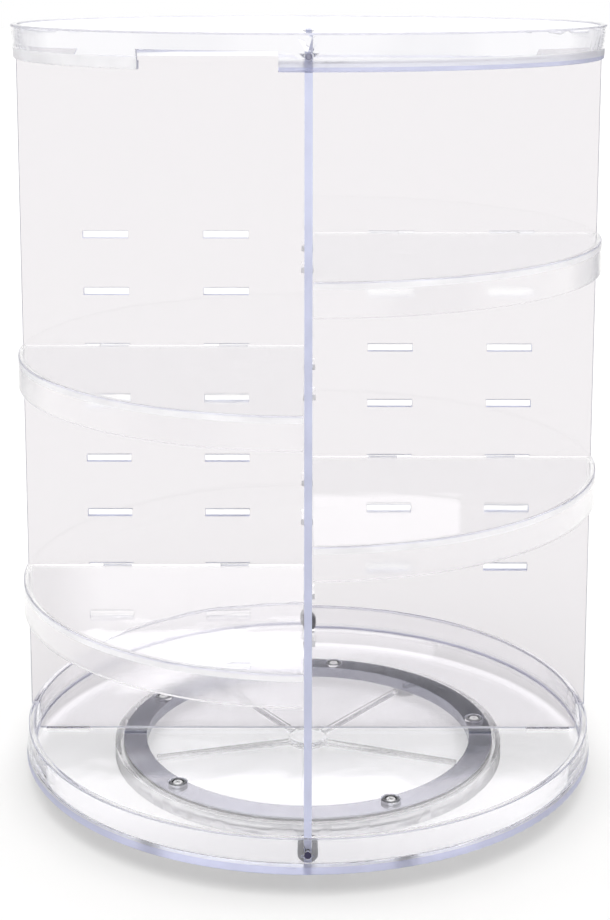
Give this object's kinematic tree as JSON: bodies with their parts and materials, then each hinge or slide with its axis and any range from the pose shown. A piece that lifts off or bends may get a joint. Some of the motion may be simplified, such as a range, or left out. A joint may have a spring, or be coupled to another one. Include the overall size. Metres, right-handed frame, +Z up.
{
  "type": "rotating storage tower",
  "caption": "Clear round rotating storage tower: rimmed base on a ring bearing, crossed slotted panels, plug-in quarter shelves and a rimmed top tray.",
  "frame": {"origin": "on the table under the middle of the tower, at the bottom of the rubber feet", "axes": "+Z up along the turning axis, -Y towards the front bays, +X to the right seen from the front"},
  "size_m": [0.2318, 0.2318, 0.303],
  "materials": {
    "clear_acrylic": "clear moulded acrylic, polished",
    "clear_panel": "clear acrylic sheet, polished, edges pale blue",
    "clear_shelf": "clear moulded acrylic, polished",
    "clear_stand": "clear moulded plastic",
    "rubber": "matt translucent grey",
    "bearing_steel": "rolled steel",
    "ring_steel": "dark zinc-plated steel",
    "washer_steel": "dark plated steel",
    "screw_steel": "bright plated steel",
    "ball_steel": "polished steel",
    "cage_nylon": "natural nylon",
    "grey_clip": "matt grey",
    "dark_screw": "blackened steel"
  },
  "bodies": {
    "stand": {"stand_dish": "clear_stand", "stand_feet": "rubber", "lower_ring": "bearing_steel", "lower_ring_screws": "screw_steel"},
    "cage": {"ball_cage": "cage_nylon", "bearing_balls": "ball_steel"},
    "carousel": {"upper_ring": "ring_steel", "cup_washers": "washer_steel", "ring_screws": "screw_steel", "base_tray": "clear_acrylic", "main_panel": "clear_panel", "cross_panel": "clear_panel", "top_tray": "clear_acrylic", "base_clips": "grey_clip", "base_rim_screws": "dark_screw", "top_rim_screws": "dark_screw"},
    "upper_right_shelf": {"shelf_upper_right": "clear_shelf"},
    "upper_left_shelf": {"shelf_upper_left": "clear_shelf"},
    "lower_right_shelf": {"shelf_lower_right": "clear_shelf"},
    "lower_left_shelf": {"shelf_lower_left": "clear_shelf"}
  },
  "joints": [
    {"name": "turntable", "type": "hinge", "parent": "stand", "child": "carousel", "pos_m": [0, 0, 0.0059], "axis": [0, 0, 1], "continuous": true},
    {"name": "cage_roll", "type": "hinge", "parent": "stand", "child": "cage", "pos_m": [0, 0, 0.0059], "axis": [0, 0, 1], "continuous": true},
    {"name": "upper_right_shelf_pull", "type": "slide", "parent": "carousel", "child": "upper_right_shelf", "axis": [0.7071, -0.7071, 0], "range_m": [0, 0.06]},
    {"name": "upper_left_shelf_pull", "type": "slide", "parent": "carousel", "child": "upper_left_shelf", "axis": [-0.7071, -0.7071, 0], "range_m": [0, 0.06]},
    {"name": "lower_right_shelf_pull", "type": "slide", "parent": "carousel", "child": "lower_right_shelf", "axis": [0.7071, -0.7071, 0], "range_m": [0, 0.06]},
    {"name": "lower_left_shelf_pull", "type": "slide", "parent": "carousel", "child": "lower_left_shelf", "axis": [-0.7071, -0.7071, 0], "range_m": [0, 0.06]}
  ],
  "couplings": [
    {"joint": "cage_roll", "follows": "turntable", "ratio": 0.5}
  ]
}
